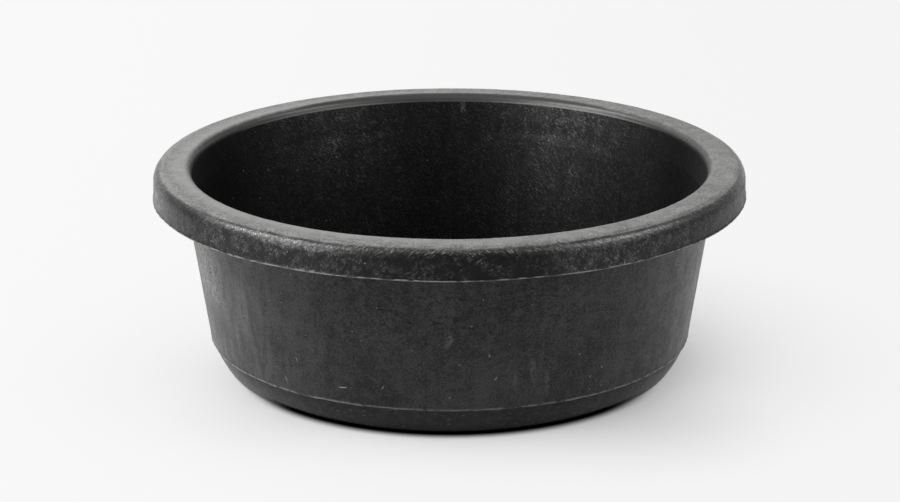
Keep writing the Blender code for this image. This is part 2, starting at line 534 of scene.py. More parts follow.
def wall_section():
    """Section of the wall, up its outer face and down its inner one."""
    edge_level = SEAM_HEIGHT + WALL_EDGE_ROUNDING
    edge_centre = (wall_outside(edge_level) - WALL_EDGE_ROUNDING, edge_level)
    lap_foot = (wall_outside(SEAM_HEIGHT) - LAP_INSET, SEAM_HEIGHT)
    lap_top = (wall_outside(INNER_SEAM_HEIGHT) - LAP_INSET, INNER_SEAM_HEIGHT)
    shoulder_edge = (WALL_HIGH.x - TONGUE_INSET, WALL_SHOULDER)
    tongue_outside = (wall_outside(TONGUE_TOP) - TONGUE_INSET, TONGUE_TOP)
    tongue_inside = (wall_inside(TONGUE_TOP) + TONGUE_INSET, TONGUE_TOP)
    tongue_foot = (wall_inside(INNER_SHOULDER) + TONGUE_INSET, INNER_SHOULDER)
    inner_top = (wall_inside(INNER_SHOULDER), INNER_SHOULDER)
    inner_foot = (wall_inside(INNER_SEAM_HEIGHT), INNER_SEAM_HEIGHT)
    outer_foot = (wall_outside(edge_level), edge_level)
    outer_top = (WALL_HIGH.x, WALL_SHOULDER)

    points = straight(lap_foot, (edge_centre[0], SEAM_HEIGHT), LIP_SPACING)
    points += bend(edge_centre, WALL_EDGE_ROUNDING, -math.pi / 2, 0.0, LIP_ROUNDING_SPACING)
    points += straight(outer_foot, outer_top, OUTER_SPACING)[1:]
    points += straight(outer_top, shoulder_edge, TONGUE_END_SPACING)
    points += straight(shoulder_edge, tongue_outside, TONGUE_SPACING)
    points += straight(tongue_outside, tongue_inside, TONGUE_END_SPACING)
    points += straight(tongue_inside, tongue_foot, TONGUE_SPACING)
    points += straight(tongue_foot, inner_top, TONGUE_END_SPACING)
    points += straight(inner_top, inner_foot, INNER_SPACING)
    points += straight(inner_foot, lap_top, LAP_END_SPACING)
    points += straight(lap_top, lap_foot, LAP_SPACING)
    return points


def inside_push(place, height):
    """How far the inner face stands out, with the hollow that is deepest at the back."""
    depth = HOLLOW_DEPTH * (0.6 + 0.4 * place.y / WALL_HIGH.x)
    return lumps(place) - depth * math.exp(-((height - HOLLOW_LEVEL) / HOLLOW_HALF_WIDTH) ** 2)


def wall_relief(place, point, outward):
    """Unevenness of the wall, with a thin ragged flash at its lower edge."""
    radius, height = point
    if wall_inside(height) + HIDDEN_DEPTH < radius < wall_outside(height) - OUTER_SKIN:
        return 0.0, 0.0
    if radius < wall_inside(height) + HIDDEN_DEPTH:
        push = inside_push(place, height)
        if INNER_SHOULDER - height < HIDDEN_DEPTH or height - INNER_SEAM_HEIGHT < HIDDEN_DEPTH:
            return -push, 0.0
        return push * outward[0], push * outward[1]
    push = lumps(place)
    flash_top = SEAM_HEIGHT + WALL_EDGE_ROUNDING + FLASH_RISE
    if height < flash_top and radius > wall_outside(height) - FLASH_SKIN:
        push += FLASH_REACH + FLASH_RAGGED * noise.noise(place / FLASH_LENGTH)
    return push * outward[0], push * outward[1]


wall_outline = wall_section()
wall = turned("leaning_wall", wall_outline, [WALL_STEPS] * len(wall_outline), True, wall_relief)


def scratch(place, middle, way, length, width):
    """Mask of one thin mark about a middle, along a direction of length 1."""
    offset = vector_maths(place, "SUBTRACT", place, middle)
    run = offset.make("ShaderNodeVectorMath", {"operation": "DOT_PRODUCT"}, {0: offset, 1: way}, "Value")
    reach = offset.make("ShaderNodeVectorMath", {"operation": "LENGTH"}, {0: offset}, "Value")
    aside = reach.maths("SQRT", reach.maths("MAXIMUM", reach * reach - run * run, 0.0))
    return ramp(aside, width * 0.5, width * 0.15) * ramp(abs(run), length * 0.5, length * 0.25)


def on_wall(degrees, height, tilt, inside):
    """Middle and direction of a mark on the wall, degrees round from the front to the right."""
    turn, lean = math.radians(degrees), math.radians(tilt)
    radius = wall_inside(height) if inside else wall_outside(height)
    middle = (radius * math.sin(turn), -radius * math.cos(turn), height)
    way = (math.cos(turn) * math.sin(lean), math.sin(turn) * math.sin(lean), math.cos(lean))
    return middle, way


INSIDE_DULL = (0.0075, 0.0080, 0.0077, 1.0)


def inner_face(place):
    """Colour and burnish of the black inside, where short fibres catch the light, with painted shade
    towards the left and right outline.
    """
    hairs = strokes(place, 0.0009, 0.0034, 0.90, 0.0, 0.90)
    hairs = hairs + strokes(place, 0.0028, 0.0009, 0.35, 7.0, 0.90) * 0.7
    hairs = hairs + strokes(place, 0.0026, 0.0008, -0.5, 13.0, 0.50) * 0.7
    hairs = hairs * ramp(cloud(place, 0.0100, 2.0), 0.38, 0.60, 0.60, 1.1)
    drifts = ramp(cloud(around(place, 0.0110, 0.0400), 1.0, 3.0), 0.36, 0.64, 0.68, 1.20)
    shade = blend(RUBBER_BLACK, INSIDE_DULL, ramp(mottle(place), 0.40, 0.60))
    shade = blend(shade, FIBRE_GREY, hairs * 0.12)
    # Painted shade: the inside turns blacker and less glossy towards the bowl's left and right outline.
    painted_limb_shade = ramp(abs(parts(facing(place), "X")), 0.72, 0.94)
    shade = blend(shade, RUBBER_BLACK, painted_limb_shade * 0.6)
    shade = blend(shade, FLECK_WHITE, flecks(place, 0.0085, 0.0006, 0.40) * 0.6)
    burnish = ramp(mottle(place), 0.42, 0.58, 0.40, 1.00) * drifts * (0.30 + hairs * 2.1)
    return shade, burnish * (1 - painted_limb_shade * 0.7)


SCRATCH_GREY = (0.220, 0.222, 0.216, 1.0)
SMUDGE_GREY = (0.160, 0.161, 0.156, 1.0)
CREASE_PAINTED_SHADE = (0.0, 0.0, 0.0, 1.0)
SCRATCHES = (  # degrees round, height, tilt from upright, inside the bowl or not, length, width
    (-24.5, 0.0328, 84, False, 0.0075, 0.0012),
    (-40.0, 0.0294, -22, False, 0.0070, 0.0010),
    (-36.0, 0.0462, -20, False, 0.0060, 0.0008),
    (-56.5, 0.0479, -50, False, 0.0055, 0.0010),
    (-15.0, 0.0361, 30, False, 0.0035, 0.0010),
    (10.0, 0.0440, 40, False, 0.0040, 0.0009),
    (8.5, 0.0614, -30, False, 0.0026, 0.0010),
    (29.5, 0.0547, 10, False, 0.0022, 0.0012),
    (33.0, 0.0361, 70, False, 0.0018, 0.0012),
    (36.0, 0.0412, 0, False, 0.0018, 0.0012),
    (239.0, 0.1122, 0, True, 0.0020, 0.0013),
    (230.1, 0.1061, 40, True, 0.0020, 0.0013),
    (220.6, 0.1000, 0, True, 0.0018, 0.0012),
    (245.2, 0.0958, 20, True, 0.0018, 0.0012),
    (234.3, 0.0877, 0, True, 0.0018, 0.0012),
)
# The large pale patch at -69 degrees, on the left outline, is partly a smudge and partly painted light from
# the lamp on the left.
WALL_SMUDGES_AND_PAINTED_LIGHT = (  # degrees round, height, tilt, length, width, strength
    (0.0, 0.0732, 22, 0.0140, 0.0060, 0.30),
    (14.5, 0.0400, -4, 0.0240, 0.0040, 0.14),
    (18.5, 0.0460, -8, 0.0300, 0.0060, 0.22),
    (22.0, 0.0360, -6, 0.0220, 0.0050, 0.20),
    (-52.0, 0.0700, 5, 0.0500, 0.0200, 0.20),
    (-69.0, 0.0880, 5, 0.0640, 0.0700, 1.00),
)

wall_rubber, wall_place = new_material("wall_rubber")
wall_level = parts(wall_place, "Z")
wall_right = parts(facing(wall_place), "X")
wall_middle = wall_outside(0.0) - WALL_THICKNESS / 2
wall_outer = ramp(
    out_from_axis(wall_place) - wall_level * math.tan(WALL_LEAN), wall_middle - 0.001, wall_middle + 0.001
)
# Paler grey streaks on the left side: partly dust, partly painted light from the lamp on the left.
wall_dust_and_painted_light = ramp(wall_right + (cloud(wall_place, 0.040, 3.0) - 0.5) * 0.6, -0.40, -0.95)
wall_centre = ramp(abs(wall_right), 0.75, 0.35)
# Painted shade: the short creases on the front of the wall are painted almost black and made less glossy,
# besides their bump.
wall_creases_painted_shade = wrinkles(wall_place) * wall_outer * wall_centre * ramp(wall_level, 0.045, 0.085)
wall_shade = blend(RUBBER_BLACK, RUBBER_DULL, ramp(mottle(wall_place), 0.40, 0.60))
wall_streaks = ramp(cloud(around(wall_place, 0.0040, 0.0220, 0.1), 1.0, 3.0), 0.36, 0.64, 0.10, 0.32)
wall_shade = blend(wall_shade, FIBRE_GREY, wall_dust_and_painted_light * wall_streaks)
wall_fibres = strokes(wall_place, 0.0010, 0.0045, 0.4, 0.0, 0.40)
wall_fibres = wall_fibres + strokes(wall_place, 0.0036, 0.0009, 0.2, 7.0, 0.40)
wall_shade = blend(wall_shade, FIBRE_GREY, wall_fibres * 0.06)
wall_shade = blend(wall_shade, CREASE_PAINTED_SHADE, wall_creases_painted_shade * 0.82)
wall_shade = blend(wall_shade, FLECK_WHITE, flecks(wall_place, 0.0080, 0.0006, 0.45) * 0.42)
wall_lip_worn = ramp(wall_level, SEAM_HEIGHT + 0.0017, SEAM_HEIGHT + 0.0007)
wall_lip_worn = wall_lip_worn * ramp(cloud(wall_place, 0.0050, 2.0), 0.34, 0.56)
wall_shade = blend(wall_shade, SCRATCH_GREY, wall_lip_worn * (0.24 + abs(wall_right) * 0.6))
wall_glow = ramp(mottle(wall_place), 0.40, 0.60, 0.40, 1.20) * (1 - wall_creases_painted_shade * 0.74)
wall_inner_shade, wall_inner_burnish = inner_face(wall_place)
wall_shade = blend(wall_inner_shade, wall_shade, wall_outer)
for degrees, height, tilt, inside, length, width in SCRATCHES:
    middle, way = on_wall(degrees, height, tilt, inside)
    wall_shade = blend(wall_shade, SCRATCH_GREY, scratch(wall_place, middle, way, length, width) * 0.8)
smudge_grain = ramp(cloud(wall_place, 0.0022, 3.0, 0.7), 0.40, 0.60)
for degrees, height, tilt, length, width, strength in WALL_SMUDGES_AND_PAINTED_LIGHT:
    middle, way = on_wall(degrees, height, tilt, False)
    smudge = scratch(wall_place, middle, way, length, width) * smudge_grain * strength
    wall_shade = blend(wall_shade, SMUDGE_GREY, smudge)
finish(
    wall,
    wall_rubber,
    wall_shade,
    ramp(cloud(wall_place, 0.012), 0.3, 0.7, 0.46, 0.54),
    wall_inner_burnish * (1 - wall_outer) + wall_glow * wall_outer * 0.46,
    0.13,
    leather(wall_place, 0.05, 0.12),
    # Painted shade: the inside is mixed towards black near the bowl's left and right outline.
    ramp(abs(wall_right), 0.78, 0.96) * (1 - wall_outer) * 0.40,
)
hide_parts("bowl_wall")
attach(wall, "root")

# Rim: the thick flat-topped ring that stiffens the mouth, moulded solid. Its
# top is scuffed grey, its side stays black, and a thin ragged line runs along
# the side's lower edge, where the two halves of the mould met.

RIM_STEPS = 960
RIM_UNDERSIDE = 0.1234
RIM_LIP_END = RIM_LOW.z
SEAT_TOP = WALL_SHOULDER + JOINT_GAP
MOUTH_ROUNDING = 0.0054
SHOULDER_ROUNDING = 0.0092
SIDE_FOOT_RADIUS = RIM_HIGH.x - 0.0007
SIDE_TOP_RADIUS = SIDE_FOOT_RADIUS - 0.0003
PARTING_RISE = 0.0016  # the parting line's upper root above the underside
PARTING_RADIUS = RIM_HIGH.x - 0.0002
RIM_TOP = RIM_HIGH.z
RIDGE_ROOT_INSET = 0.0004  # the underside ends this much inside the foot of the side
PARTING_LEVELS = (0.0003, 0.0006, 0.0011)  # foot, lower and upper edge above the underside

# Distance between the points of the rim's section, along each stretch of it
SLOT_SPACING = 0.0060
SLOT_TOP_SPACING = 0.0040
RIM_UNDERSIDE_SPACING = 0.0022
SIDE_SPACING = 0.0012
SHOULDER_SPACING = 0.0008
TOP_SPACING = 0.0012
MOUTH_SPACING = 0.0007
LIP_FACE_SPACING = 0.0012

# Where the rim's faces move, and how
SLOT_OUTER_RADIUS = 0.190  # the slot and the seat lie inside this radius
WANDER_INNER_RADIUS = 0.196  # the parting line's wander fades out from the edge to here
WANDER_RUN = 0.008
WANDER_TOP = 0.0076  # and up to this height above the underside
WANDER_FADE = 0.006
WANDER_TO_FRONT = 0.0004
WANDER_TO_RIGHT = 0.0003
WANDER_BY_CHANCE = 0.0005
WANDER_LENGTH = 0.060
PARTING_SKIN = 0.0001  # the line's own points lie this near to its radius
PARTING_SUNK = 0.00020
PARTING_RAGGED = 0.00040
PARTING_LENGTHS = (0.0110, 0.0030)
PARTING_SHARE = 0.6  # of each of the two lengths


def rim_section():
    """Section of the rim: the lip inside the bowl, the slot, the underside, the side and the top."""
    slot_inset = TONGUE_INSET - JOINT_GAP
    slot_top = TONGUE_TOP + JOINT_GAP
    mouth_level = RIM_TOP - MOUTH_ROUNDING
    mouth_centre = (wall_inside(mouth_level) + MOUTH_ROUNDING / math.cos(WALL_LEAN), mouth_level)
    shoulder_centre = (SIDE_TOP_RADIUS - SHOULDER_ROUNDING, RIM_TOP - SHOULDER_ROUNDING)
    slot_foot = (wall_inside(RIM_LIP_END) + slot_inset, RIM_LIP_END)
    slot_inside = (wall_inside(slot_top) + slot_inset, slot_top)
    slot_outside = (wall_outside(slot_top) - slot_inset, slot_top)
    seat_inside = (wall_outside(SEAT_TOP) - slot_inset, SEAT_TOP)
    seat_outside = (wall_outside(SEAT_TOP) + JOINT_GAP, SEAT_TOP)
    ridge_root = SIDE_FOOT_RADIUS - RIDGE_ROOT_INSET
    lip_corner = (wall_inside(RIM_LIP_END), RIM_LIP_END)
    side_foot = (SIDE_FOOT_RADIUS, RIM_UNDERSIDE + PARTING_RISE)
    side_top = (SIDE_TOP_RADIUS, shoulder_centre[1])
    foot_rise, lower_rise, upper_rise = PARTING_LEVELS

    points = [lip_corner]
    points += straight(slot_foot, slot_inside, SLOT_SPACING)
    points += straight(slot_inside, slot_outside, SLOT_TOP_SPACING)
    points += straight(slot_outside, seat_inside, SLOT_SPACING)
    points += [seat_inside, seat_outside]
    points += straight(
        (seat_outside[0], RIM_UNDERSIDE), (ridge_root, RIM_UNDERSIDE), RIM_UNDERSIDE_SPACING
    )
    points.append((ridge_root, RIM_UNDERSIDE))
    points.append((SIDE_FOOT_RADIUS, RIM_UNDERSIDE + foot_rise))
    points.append((PARTING_RADIUS, RIM_UNDERSIDE + lower_rise))
    points.append((PARTING_RADIUS, RIM_UNDERSIDE + upper_rise))
    points += straight(side_foot, side_top, SIDE_SPACING)
    points += bend(shoulder_centre, SHOULDER_ROUNDING, 0.0, math.pi / 2, SHOULDER_SPACING)
    points += straight((shoulder_centre[0], RIM_TOP), (mouth_centre[0], RIM_TOP), TOP_SPACING)[1:]
    points += bend(mouth_centre, MOUTH_ROUNDING, math.pi / 2, math.pi - WALL_LEAN, MOUTH_SPACING)
    points += straight(points[-1], lip_corner, LIP_FACE_SPACING)[1:]
    return points


def rim_relief(place, point, outward):
    """Unevenness of the rim, and the parting line that wanders and comes and goes round it."""
    radius, height = point
    in_slot = wall_inside(height) + HIDDEN_DEPTH < radius < SLOT_OUTER_RADIUS
    if in_slot and height < TONGUE_TOP + JOINT_GAP * 2:
        return 0.0, 0.0
    if radius < wall_inside(height) + HIDDEN_DEPTH:
        push = inside_push(place, height)
        if height - RIM_LIP_END < HIDDEN_DEPTH:
            return -push, 0.0
        return push * outward[0], push * outward[1]
    push = lumps(place)
    sideways, lift = push * outward[0], push * outward[1]
    if height < RIM_UNDERSIDE + PARTING_RISE + WANDER_FADE and radius > WANDER_INNER_RADIUS:
        front, right = -place.y / radius, place.x / radius
        wander = WANDER_TO_FRONT * front + WANDER_TO_RIGHT * right
        wander += WANDER_BY_CHANCE * noise.noise(place / WANDER_LENGTH)
        outer_share = min(1.0, (radius - WANDER_INNER_RADIUS) / WANDER_RUN)
        lower_share = min(1.0, (RIM_UNDERSIDE + WANDER_TOP - height) / WANDER_FADE)
        lift += wander * outer_share * lower_share
    if radius > PARTING_RADIUS - PARTING_SKIN:
        reach = sum(PARTING_SHARE * noise.noise(place / length) for length in PARTING_LENGTHS)
        sideways = PARTING_RAGGED * min(0.5, max(-0.5, reach)) - PARTING_SUNK
    return sideways, lift


rim_outline = rim_section()
rim = turned("flat_topped_rim", rim_outline, [RIM_STEPS] * len(rim_outline), True, rim_relief)

WORN_GREY = (0.115, 0.115, 0.111, 1.0)
WORN_PALE = (0.270, 0.270, 0.262, 1.0)
EDGE_GREY = (0.036, 0.036, 0.035, 1.0)
MOUTH_GREY = (0.055, 0.055, 0.053, 1.0)
SCUFF_PALE = (0.340, 0.340, 0.330, 1.0)
PARTING_PAINTED_HIGHLIGHT = (0.180, 0.181, 0.176, 1.0)
VALLEY_RADIUS = 0.2049  # a shallow groove between the flat top and the shoulder, darkened there with painted shade
MOUTH_HIGHLIGHT_LEVEL = 0.1410  # the painted highlight line round the mouth, at the back

rim_rubber, rim_place = new_material("rim_rubber")
rim_level = parts(rim_place, "Z")
rim_radius = out_from_axis(rim_place)
rim_facing = facing(rim_place)
rim_right = parts(rim_facing, "X")
rim_back = parts(rim_facing, "Y")
rim_grain = fine_grain(rim_place)
rim_foremost = ramp(rim_back + (cloud(rim_place, 0.020, 2.0) - 0.5) * 0.10, -0.90, -0.97)
rim_hairs_left = strokes(rim_place, 0.0008, 0.0044, 0.70, 3.0, 1.0) * ramp(rim_right, 0.10, -0.05)
rim_hairs_right = strokes(rim_place, 0.0008, 0.0044, -0.70, 4.0, 1.0) * ramp(rim_right, -0.05, 0.10)
rim_hairs = rim_hairs_left + rim_hairs_right

# Worn top, its scuffs and the shallow valley along its outer edge, darkened with painted shade at the front
rim_ragged = (cloud(rim_place, 0.0050, 3.0) - 0.5) * 0.0020 + (rim_grain - 0.5) * 0.0016
rim_waved = rim_radius + (cloud(rim_place, 0.018, 2.0) - 0.5) * 0.0022
rim_outer = ramp(rim_radius, 0.193, 0.197)
rim_far = ramp(rim_back, 0.74, 0.92)
rim_top_worn = ramp(rim_radius + rim_ragged - rim_far * 0.0028, 0.1832, 0.1866)
rim_top_worn = rim_top_worn * ramp(rim_waved + rim_ragged - rim_hairs * 0.0020, 0.2056, 0.2034)
rim_edge_worn = ramp(rim_radius + rim_ragged, 0.2089, 0.2070) * rim_outer
rim_near = ramp(rim_back, 0.0, -0.45) * ramp(abs(rim_right), 0.92, 0.70)
rim_valley_and_painted_shade = ramp(abs(rim_waved - VALLEY_RADIUS), 0.0013, 0.0002) * rim_near
rim_valley_and_painted_shade = rim_valley_and_painted_shade * ramp(cloud(rim_place, 0.012, 2.0), 0.34, 0.58, 0.25, 1.0)
rim_valley_and_painted_shade = rim_valley_and_painted_shade * (1 - rim_foremost * 0.7)
rim_lines = ramp(cloud(around(rim_place, 0.0280, 0.0015), 1.0, 2.0), 0.53, 0.64)
rim_lines = rim_lines * ramp(rim_radius, 0.196, 0.203)
rim_cracks = strokes(rim_place, 0.0009, 0.0060, 0.1, 11.0, 0.30)
rim_hairs_across = strokes(rim_place, 0.0010, 0.0034, -0.3, 5.0, 0.70)
rim_worn_patches = cloud(rim_place, 0.0090, 3.0, 0.6) * 0.30 + rim_grain * 0.55
rim_worn_patches = rim_worn_patches + cloud(rim_place, 0.040, 2.0) * 0.15
rim_worn = blend(WORN_GREY, WORN_PALE, ramp(rim_worn_patches, 0.40, 0.60))
rim_scuffed_left = ramp(rim_radius, 0.1985, 0.1900) * ramp(rim_right, 0.5, -0.6)
rim_worn = blend(rim_worn, SCUFF_PALE, rim_scuffed_left * 0.45)
rim_worn = blend(rim_worn, SCUFF_PALE, rim_hairs * 0.30)
rim_worn = blend(rim_worn, EDGE_GREY, rim_cracks * 0.60 + rim_hairs_across * 0.25 + rim_lines * 0.40)
# Paler blotches on the left of the side: partly dust, partly painted light from the lamp on the left.
rim_dust_and_painted_light = ramp(rim_right + (cloud(rim_place, 0.030, 3.0) - 0.5) * 0.9, 0.25, -0.55)
rim_blotches = ramp(cloud(rim_place, 0.0060, 4.0, 0.75), 0.46, 0.64)
rim_side = blend(RUBBER_BLACK, RUBBER_DULL, rim_blotches * (0.50 + rim_dust_and_painted_light * 1.5))
rim_clusters = ramp(cloud(rim_place, 0.012, 3.0), 0.42, 0.60)
rim_specks = ramp(cloud(around(rim_place, 0.0014, 0.0024, 0.6), 1.0, 2.0, 0.6), 0.58, 0.74) * rim_clusters
rim_side_hairs = rim_hairs_across * rim_clusters * 0.35 + rim_hairs * rim_clusters * 0.20
rim_side_fibres = strokes(rim_place, 0.0036, 0.0009, 0.2, 9.0, 0.50) * rim_clusters
rim_speck_share = (0.26 - rim_foremost * 0.06) * ramp(rim_right, 0.05, 0.35, 1.0, 0.65)
# Painted light: the side is paler towards its left and right outline, most on the left.
rim_limb_painted_light = ramp(abs(rim_right), 0.82, 0.99) * (0.26 - rim_right * 0.16)
rim_side = blend(rim_side, FIBRE_GREY, rim_side_hairs)
rim_side = blend(rim_side, FIBRE_GREY, rim_side_fibres * 0.40)
rim_side = blend(rim_side, SCUFF_PALE, rim_specks * rim_speck_share)
rim_side = blend(rim_side, FLECK_WHITE, flecks(rim_place, 0.0075, 0.0006, 0.5) * 0.5)
rim_side = blend(rim_side, FIBRE_GREY, rim_limb_painted_light * rim_grain * 1.6)
# Painted highlight: the parting line's ridge is real, and it is painted pale where it catches the light
# from above.
rim_parting_and_painted_highlight = ramp(rim_radius, SIDE_FOOT_RADIUS + 0.00002, SIDE_FOOT_RADIUS + 0.00022)
rim_parting_and_painted_highlight = rim_parting_and_painted_highlight * ramp(rim_level, RIM_UNDERSIDE + 0.0038, RIM_UNDERSIDE + 0.0028)
rim_parting_and_painted_highlight = rim_parting_and_painted_highlight * ramp(cloud(rim_place, 0.0070, 2.5), 0.40, 0.54, 0.15, 1.0)
rim_side = blend(rim_side, PARTING_PAINTED_HIGHLIGHT, rim_parting_and_painted_highlight)
# Painted shade: a dark, less glossy patch on the shoulder at front left and front right, strongest on the
# left.
rim_shoulder_painted_shade = ramp(abs(abs(rim_right) - 0.87), 0.12, 0.04) * ramp(rim_back, 0.1, -0.2)
rim_shoulder_painted_shade = rim_shoulder_painted_shade * (0.75 - rim_right * 0.25)
rim_edge_hairs = rim_hairs * (0.62 + rim_foremost * 0.38) + rim_hairs_across * 0.25
rim_edge_tone = blend(EDGE_GREY, SCUFF_PALE, rim_edge_hairs)
rim_edge_tone = blend(rim_edge_tone, RUBBER_BLACK, rim_shoulder_painted_shade * 0.80)
rim_edge_level = rim_level + rim_ragged + rim_hairs * 0.0018 - rim_foremost * 0.0024
rim_edge_high = ramp(rim_edge_level, RIM_TOP - 0.0072, RIM_TOP - 0.0042)
rim_shade = blend(rim_side, rim_edge_tone, rim_edge_worn * rim_edge_high)
rim_inner_shade, rim_inner_burnish = inner_face(rim_place)
smudge_middle, smudge_way = on_wall(176.7, 0.1368, 5, True)
rim_smudge = scratch(rim_place, smudge_middle, smudge_way, 0.0120, 0.0060)
rim_smudge = rim_smudge * ramp(rim_grain, 0.40, 0.60)
rim_inner_shade = blend(rim_inner_shade, SMUDGE_GREY, rim_smudge * 0.35)
rim_mouth_grey = ramp(rim_level + rim_ragged, RIM_TOP - 0.0054, RIM_TOP - 0.0034)
rim_mouth_shade = blend(rim_inner_shade, MOUTH_GREY, rim_mouth_grey)
# Painted highlight: a thin pale line low on the mouth's rounding at the back, strongest where the
# reflections of the lamps fall.
rim_mouth_painted_highlight = ramp(abs(rim_level + rim_ragged * 0.2 - MOUTH_HIGHLIGHT_LEVEL), 0.0009, 0.0002)
rim_mouth_painted_highlight = rim_mouth_painted_highlight * ramp(rim_back, 0.45, 0.75)
rim_mouth_painted_highlight = rim_mouth_painted_highlight * ramp(abs(rim_right), 0.10, 0.40, 0.45, 0.95)
rim_mouth_shade = blend(rim_mouth_shade, SMUDGE_GREY, rim_mouth_painted_highlight)
rim_shade = blend(rim_mouth_shade, rim_shade, rim_outer)
rim_shade = blend(rim_shade, rim_worn, rim_top_worn * ramp(rim_level, RIM_TOP - 0.0050, RIM_TOP - 0.0030))
# Painted shade: the valley is darkened on the front half, away from the left and right outline.
rim_shade = blend(rim_shade, RUBBER_DULL, rim_valley_and_painted_shade * 0.60)

# Burnish: full on both roundings, in strokes, and least at the front of the side
rim_below_top = ramp(rim_level, RIM_TOP - 0.0010, RIM_TOP - 0.0028)
rim_on_side = ramp(rim_level, RIM_TOP - 0.0038, RIM_TOP - 0.0074)
rim_side_share = (0.42 - rim_right * 0.14) * (1 - rim_foremost) * (0.55 + rim_blotches)
rim_flat_share = 0.20 - rim_right * 0.15
rim_strokes = (rim_hairs + rim_hairs_across) * rim_below_top
rim_round_share = 1 - rim_on_side + rim_on_side * rim_side_share
rim_outer_burnish = rim_flat_share + rim_below_top * (rim_round_share - rim_flat_share)
rim_outer_burnish = rim_outer_burnish * (ramp(rim_grain, 0.38, 0.62, 0.35, 0.90) + rim_strokes * 1.3)
rim_outer_burnish = rim_outer_burnish * (1 - rim_shoulder_painted_shade * rim_below_top * 0.75)
rim_bright_right = ramp(rim_right, 0.15, 0.35) * ramp(rim_right, 0.85, 0.60)
rim_outer_burnish = rim_outer_burnish * (1 + rim_bright_right * 0.4)
rim_mouth = ramp(rim_level, RIM_TOP - 0.0060, RIM_TOP - 0.0046) * rim_below_top
rim_mouth_burnish = rim_inner_burnish * (1 - rim_mouth) * rim_below_top
rim_mouth_burnish = rim_mouth_burnish + rim_mouth * ramp(rim_grain, 0.35, 0.65, 0.75, 1.0)
rim_mouth_burnish = rim_mouth_burnish + rim_flat_share * (1 - rim_below_top) * 0.6
rim_burnish = rim_outer_burnish * rim_outer + rim_mouth_burnish * (1 - rim_outer)
rim_burnish = rim_burnish * (1 - rim_valley_and_painted_shade * 0.7)
rim_height = leather(rim_place, 0.05, 0.07) + rim_hairs * rim_outer * 0.06
rim_height = rim_height - rim_valley_and_painted_shade * 0.08 - rim_cracks * rim_outer * 0.06
# Painted shade: the inside below the mouth is mixed towards black near the left and right outline.
rim_unlit = ramp(abs(rim_right), 0.78, 0.96) * ramp(rim_level, RIM_TOP - 0.0052, RIM_TOP - 0.0076)
finish(
    rim,
    rim_rubber,
    rim_shade,
    ramp(cloud(rim_place, 0.012), 0.3, 0.7, 0.46, 0.56),
    rim_burnish,
    0.26,
    rim_height,
    rim_unlit * (1 - rim_outer) * 0.45,
)
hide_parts("bowl_rim")
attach(rim, "root")

# Stage: a plain pale floor, a soft lamp high on each side, a dim room with
# brighter panels, most of all low down in front on both sides, and the camera
# at the photograph's angle.

FLOOR_REACH = 6.0
FLOOR_CORNERS = 48
FLOOR_WHITE = (0.80, 0.80, 0.80, 1.0)
CONTACT_PAINTED_SHADOW = (0.0, 0.0, 0.0, 1.0)
WHITE_LEFT = (0.945, 0.945, 0.945, 1.0)
WHITE_RIGHT = (0.905, 0.905, 0.905, 1.0)
CONTACT_EDGE = (0.1605, 0.1490)  # distances from the middle of the painted contact shadow where it starts and is full
SHADOW_ROUND_RADIUS = 0.180
SHADOW_ROUND_FALL = 19.0  # per metre
SHADOW_ROUND_DEPTH = 0.48
SHADOW_LOBES = (  # soft darker patches in front: middle, reach, depth
    ((0.140, -0.160), 0.105, 0.18),
    ((-0.130, -0.140), 0.090, 0.13),
)

floor_mesh = bpy.data.meshes.new("floor")
floor_turns = [2 * math.pi * corner / FLOOR_CORNERS for corner in range(FLOOR_CORNERS)]
floor_mesh.from_pydata(
    [(FLOOR_REACH * math.cos(turn), FLOOR_REACH * math.sin(turn), 0.0) for turn in floor_turns],
    [],
    [tuple(range(FLOOR_CORNERS))],
)
floor = bpy.data.objects.new("floor", floor_mesh)
bpy.context.scene.collection.objects.link(floor)

floor_paint, floor_place = new_material("floor_paint")
seen = floor_place.make("ShaderNodeLightPath", {}, {}, "Is Camera Ray")
mirrored = floor_place.make("ShaderNodeLightPath", {}, {}, "Is Glossy Ray")
passed = floor_place.make("ShaderNodeLightPath", {}, {}, "Is Transmission Ray")
looked_at = seen.maths("MAXIMUM", seen.maths("MAXIMUM", seen, mirrored), passed)
# Painted shadow: the floor is painted black just in front of the foot, as a contact shadow.
from_foot = out_from_axis(vector_maths(floor_place, "ADD", floor_place, (0.0, CONTACT_SHADOW_FORWARD, 0.0)))
floor_front = parts(facing(floor_place), "Y") * -1.0
contact_painted_shadow = ramp(from_foot, *CONTACT_EDGE) * ramp(floor_front, 0.35, 0.75)
open_floor = 1.0 - contact_painted_shadow
floor_shade = blend(CONTACT_PAINTED_SHADOW, FLOOR_WHITE, open_floor)
painted = floor_place.make("ShaderNodeBsdfDiffuse", {}, {"Color": floor_shade})
floor_white = blend(WHITE_LEFT, WHITE_RIGHT, ramp(parts(floor_place, "X"), -0.5, 0.5))
far_white = floor_place.make("ShaderNodeEmission", {}, {"Color": floor_white, "Strength": 1.0})
floor_right = parts(facing(floor_place), "X")
lit_left = ramp(floor_front, 0.5, -0.6, 0.0, 0.65) * ramp(floor_right, 0.3, -0.3)
shadow_fall = (SHADOW_ROUND_RADIUS - out_from_axis(floor_place)) * SHADOW_ROUND_FALL
shadow_round = floor_place.maths("EXPONENT", shadow_fall) * (1 - lit_left) * SHADOW_ROUND_DEPTH
unshaded = 1.0 - shadow_round
for (lobe_x, lobe_y), lobe_reach, lobe_depth in SHADOW_LOBES:
    from_lobe = out_from_axis(vector_maths(floor_place, "SUBTRACT", floor_place, (lobe_x, lobe_y, 0.0)))
    unshaded = unshaded - ramp(from_lobe, lobe_reach, 0.0) * lobe_depth
fade = floor_place.maths("MAXIMUM", unshaded, 0.0) * open_floor * looked_at
